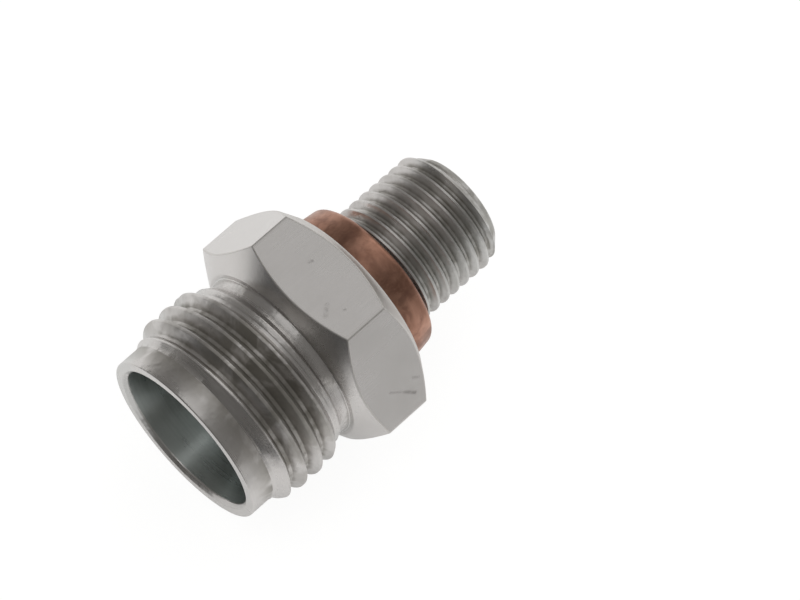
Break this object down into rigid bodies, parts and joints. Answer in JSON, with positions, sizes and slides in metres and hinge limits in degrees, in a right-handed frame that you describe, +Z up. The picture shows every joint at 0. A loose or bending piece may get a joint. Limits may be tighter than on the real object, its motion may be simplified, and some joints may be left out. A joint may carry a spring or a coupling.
{
  "type": "straight hydraulic adapter",
  "caption": "Straight male adapter: union-nut end with 24 degree tube mouth, hexagon, port stud and a copper sealing washer.",
  "frame": {"origin": "on the axis, in the hexagon's sealing face under the copper washer", "axes": "+X along the axis out of the port stud's tip, +Z up, square to one flat of the hexagon"},
  "size_m": [0.0275, 0.0197, 0.017],
  "materials": {
    "zinc_steel": "bright zinc plating, turned, with light handling wear",
    "copper": "dull, lightly tarnished copper"
  },
  "bodies": {
    "root": {"adapter_body": "zinc_steel", "copper_washer": "copper"}
  },
  "joints": []
}
